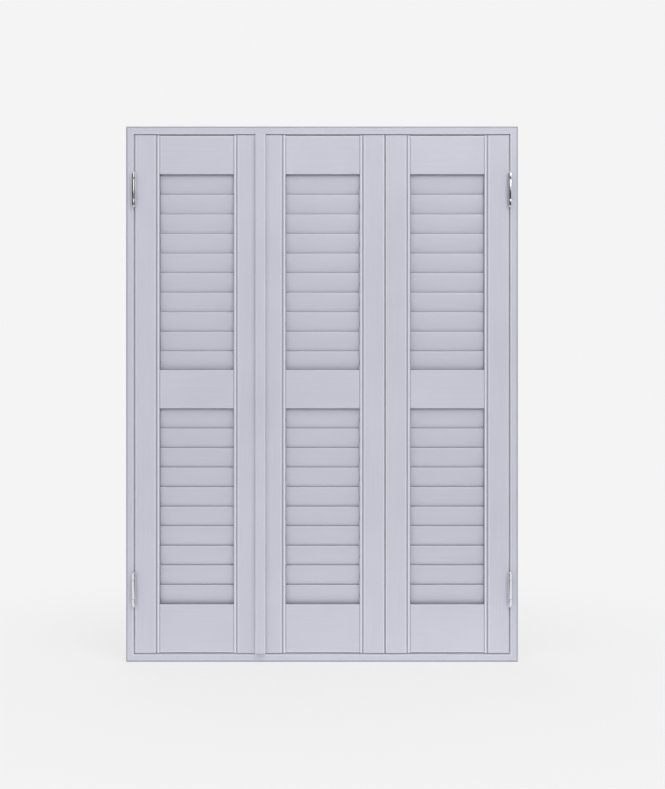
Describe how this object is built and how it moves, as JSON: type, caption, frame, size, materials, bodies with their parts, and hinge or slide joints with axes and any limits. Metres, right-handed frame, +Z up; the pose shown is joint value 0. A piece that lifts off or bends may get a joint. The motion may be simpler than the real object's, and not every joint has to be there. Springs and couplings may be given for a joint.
{
  "type": "louvred window shutters",
  "caption": "Painted timber window shutters in a mitred frame: a single hinged panel and a folding pair, each with two banks of tilting louvres on hidden rear tilt bars.",
  "frame": {"origin": "middle of the underside of the sill, half way through the depth of the frame", "axes": "+Z up along the jambs, +X to the right as seen from the room, +Y from the room to the window"},
  "size_m": [0.8, 0.0601, 1.093],
  "materials": {
    "paint": "satin paint",
    "hinge_metal": "polished",
    "bar_metal": "satin anodised",
    "magnet": "matt moulded"
  },
  "bodies": {
    "frame": {"left_jamb": "paint", "right_jamb": "paint", "head": "paint", "sill": "paint", "side_light_stops": "paint", "end_light_stops": "paint", "frame_hinge_leaves": "hinge_metal", "frame_hinge_pins": "hinge_metal", "catch_magnets": "magnet"},
    "left_panel": {"left_hinge_stile": "paint", "left_meeting_stile": "paint", "left_top_rail": "paint", "left_middle_rail": "paint", "left_bottom_rail": "paint", "meeting_strip": "paint", "left_hinge_leaves": "hinge_metal", "left_strike_plates": "hinge_metal"},
    "right_panel": {"right_fold_stile": "paint", "right_hinge_stile": "paint", "right_top_rail": "paint", "right_middle_rail": "paint", "right_bottom_rail": "paint", "right_upper_louvres": "paint", "right_lower_louvres": "paint", "right_tilt_bars": "bar_metal", "right_hinge_leaves": "hinge_metal", "right_fold_leaves": "hinge_metal", "fold_hinge_pins": "hinge_metal", "right_strike_plates": "hinge_metal"},
    "middle_panel": {"middle_meeting_stile": "paint", "middle_fold_stile": "paint", "middle_top_rail": "paint", "middle_middle_rail": "paint", "middle_bottom_rail": "paint", "middle_upper_louvres": "paint", "middle_lower_louvres": "paint", "middle_tilt_bars": "bar_metal", "middle_fold_leaves": "hinge_metal"},
    "louvre_01": {"left_louvre_01": "paint"},
    "louvre_02": {"left_louvre_02": "paint"},
    "louvre_03": {"left_louvre_03": "paint"},
    "louvre_04": {"left_louvre_04": "paint"},
    "louvre_05": {"left_louvre_05": "paint"},
    "louvre_06": {"left_louvre_06": "paint"},
    "louvre_07": {"left_louvre_07": "paint"},
    "louvre_08": {"left_louvre_08": "paint"},
    "louvre_09": {"left_louvre_09": "paint"},
    "louvre_10": {"left_louvre_10": "paint"},
    "louvre_11": {"left_louvre_11": "paint"},
    "louvre_12": {"left_louvre_12": "paint"},
    "louvre_13": {"left_louvre_13": "paint"},
    "louvre_14": {"left_louvre_14": "paint"},
    "louvre_15": {"left_louvre_15": "paint"},
    "louvre_16": {"left_louvre_16": "paint"},
    "louvre_17": {"left_louvre_17": "paint"},
    "louvre_18": {"left_louvre_18": "paint"},
    "louvre_19": {"left_louvre_19": "paint"},
    "louvre_20": {"left_louvre_20": "paint"},
    "upper_bar": {"left_upper_tilt_bar": "bar_metal"},
    "lower_bar": {"left_lower_tilt_bar": "bar_metal"}
  },
  "joints": [
    {"name": "left_panel_swing", "type": "hinge", "parent": "frame", "child": "left_panel", "pos_m": [-0.3825, -0.0306, 0.5465], "axis": [0, 0, -1], "range_deg": [0, 170]},
    {"name": "right_panel_swing", "type": "hinge", "parent": "frame", "child": "right_panel", "pos_m": [0.3825, -0.0306, 0.5465], "axis": [0, 0, 1], "range_deg": [0, 85]},
    {"name": "middle_panel_fold", "type": "hinge", "parent": "right_panel", "child": "middle_panel", "pos_m": [0.1285, 0.0074, 0.5465], "axis": [0, 0, -1], "range_deg": [0, 177]},
    {"name": "left_upper_tilt", "type": "hinge", "parent": "left_panel", "child": "louvre_01", "pos_m": [-0.2555, -0.0116, 0.9712], "axis": [1, 0, 0], "range_deg": [0, 120]},
    {"name": "louvre_02_tilt", "type": "hinge", "parent": "left_panel", "child": "louvre_02", "pos_m": [-0.2555, -0.0116, 0.93118], "axis": [1, 0, 0], "range_deg": [0, 120]},
    {"name": "louvre_03_tilt", "type": "hinge", "parent": "left_panel", "child": "louvre_03", "pos_m": [-0.2555, -0.0116, 0.89116], "axis": [1, 0, 0], "range_deg": [0, 120]},
    {"name": "louvre_04_tilt", "type": "hinge", "parent": "left_panel", "child": "louvre_04", "pos_m": [-0.2555, -0.0116, 0.85113], "axis": [1, 0, 0], "range_deg": [0, 120]},
    {"name": "louvre_05_tilt", "type": "hinge", "parent": "left_panel", "child": "louvre_05", "pos_m": [-0.2555, -0.0116, 0.81111], "axis": [1, 0, 0], "range_deg": [0, 120]},
    {"name": "louvre_06_tilt", "type": "hinge", "parent": "left_panel", "child": "louvre_06", "pos_m": [-0.2555, -0.0116, 0.77109], "axis": [1, 0, 0], "range_deg": [0, 120]},
    {"name": "louvre_07_tilt", "type": "hinge", "parent": "left_panel", "child": "louvre_07", "pos_m": [-0.2555, -0.0116, 0.73107], "axis": [1, 0, 0], "range_deg": [0, 120]},
    {"name": "louvre_08_tilt", "type": "hinge", "parent": "left_panel", "child": "louvre_08", "pos_m": [-0.2555, -0.0116, 0.69104], "axis": [1, 0, 0], "range_deg": [0, 120]},
    {"name": "louvre_09_tilt", "type": "hinge", "parent": "left_panel", "child": "louvre_09", "pos_m": [-0.2555, -0.0116, 0.65102], "axis": [1, 0, 0], "range_deg": [0, 120]},
    {"name": "louvre_10_tilt", "type": "hinge", "parent": "left_panel", "child": "louvre_10", "pos_m": [-0.2555, -0.0116, 0.611], "axis": [1, 0, 0], "range_deg": [0, 120]},
    {"name": "upper_bar_clip", "type": "hinge", "parent": "louvre_01", "child": "upper_bar", "pos_m": [-0.3074, -0.00722, 0.94527], "axis": [1, 0, 0], "range_deg": [-120, 0]},
    {"name": "left_lower_tilt", "type": "hinge", "parent": "left_panel", "child": "louvre_11", "pos_m": [-0.2555, -0.0116, 0.4931], "axis": [1, 0, 0], "range_deg": [0, 120]},
    {"name": "louvre_12_tilt", "type": "hinge", "parent": "left_panel", "child": "louvre_12", "pos_m": [-0.2555, -0.0116, 0.45308], "axis": [1, 0, 0], "range_deg": [0, 120]},
    {"name": "louvre_13_tilt", "type": "hinge", "parent": "left_panel", "child": "louvre_13", "pos_m": [-0.2555, -0.0116, 0.41306], "axis": [1, 0, 0], "range_deg": [0, 120]},
    {"name": "louvre_14_tilt", "type": "hinge", "parent": "left_panel", "child": "louvre_14", "pos_m": [-0.2555, -0.0116, 0.37303], "axis": [1, 0, 0], "range_deg": [0, 120]},
    {"name": "louvre_15_tilt", "type": "hinge", "parent": "left_panel", "child": "louvre_15", "pos_m": [-0.2555, -0.0116, 0.33301], "axis": [1, 0, 0], "range_deg": [0, 120]},
    {"name": "louvre_16_tilt", "type": "hinge", "parent": "left_panel", "child": "louvre_16", "pos_m": [-0.2555, -0.0116, 0.29299], "axis": [1, 0, 0], "range_deg": [0, 120]},
    {"name": "louvre_17_tilt", "type": "hinge", "parent": "left_panel", "child": "louvre_17", "pos_m": [-0.2555, -0.0116, 0.25297], "axis": [1, 0, 0], "range_deg": [0, 120]},
    {"name": "louvre_18_tilt", "type": "hinge", "parent": "left_panel", "child": "louvre_18", "pos_m": [-0.2555, -0.0116, 0.21294], "axis": [1, 0, 0], "range_deg": [0, 120]},
    {"name": "louvre_19_tilt", "type": "hinge", "parent": "left_panel", "child": "louvre_19", "pos_m": [-0.2555, -0.0116, 0.17292], "axis": [1, 0, 0], "range_deg": [0, 120]},
    {"name": "louvre_20_tilt", "type": "hinge", "parent": "left_panel", "child": "louvre_20", "pos_m": [-0.2555, -0.0116, 0.1329], "axis": [1, 0, 0], "range_deg": [0, 120]},
    {"name": "lower_bar_clip", "type": "hinge", "parent": "louvre_11", "child": "lower_bar", "pos_m": [-0.3074, -0.00722, 0.46717], "axis": [1, 0, 0], "range_deg": [-120, 0]}
  ],
  "couplings": [
    {"joint": "middle_panel_fold", "follows": "right_panel_swing", "ratio": 2.08},
    {"joint": "louvre_02_tilt", "follows": "left_upper_tilt", "ratio": 1},
    {"joint": "louvre_03_tilt", "follows": "left_upper_tilt", "ratio": 1},
    {"joint": "louvre_04_tilt", "follows": "left_upper_tilt", "ratio": 1},
    {"joint": "louvre_05_tilt", "follows": "left_upper_tilt", "ratio": 1},
    {"joint": "louvre_06_tilt", "follows": "left_upper_tilt", "ratio": 1},
    {"joint": "louvre_07_tilt", "follows": "left_upper_tilt", "ratio": 1},
    {"joint": "louvre_08_tilt", "follows": "left_upper_tilt", "ratio": 1},
    {"joint": "louvre_09_tilt", "follows": "left_upper_tilt", "ratio": 1},
    {"joint": "louvre_10_tilt", "follows": "left_upper_tilt", "ratio": 1},
    {"joint": "upper_bar_clip", "follows": "left_upper_tilt", "ratio": -1},
    {"joint": "louvre_12_tilt", "follows": "left_lower_tilt", "ratio": 1},
    {"joint": "louvre_13_tilt", "follows": "left_lower_tilt", "ratio": 1},
    {"joint": "louvre_14_tilt", "follows": "left_lower_tilt", "ratio": 1},
    {"joint": "louvre_15_tilt", "follows": "left_lower_tilt", "ratio": 1},
    {"joint": "louvre_16_tilt", "follows": "left_lower_tilt", "ratio": 1},
    {"joint": "louvre_17_tilt", "follows": "left_lower_tilt", "ratio": 1},
    {"joint": "louvre_18_tilt", "follows": "left_lower_tilt", "ratio": 1},
    {"joint": "louvre_19_tilt", "follows": "left_lower_tilt", "ratio": 1},
    {"joint": "louvre_20_tilt", "follows": "left_lower_tilt", "ratio": 1},
    {"joint": "lower_bar_clip", "follows": "left_lower_tilt", "ratio": -1}
  ]
}
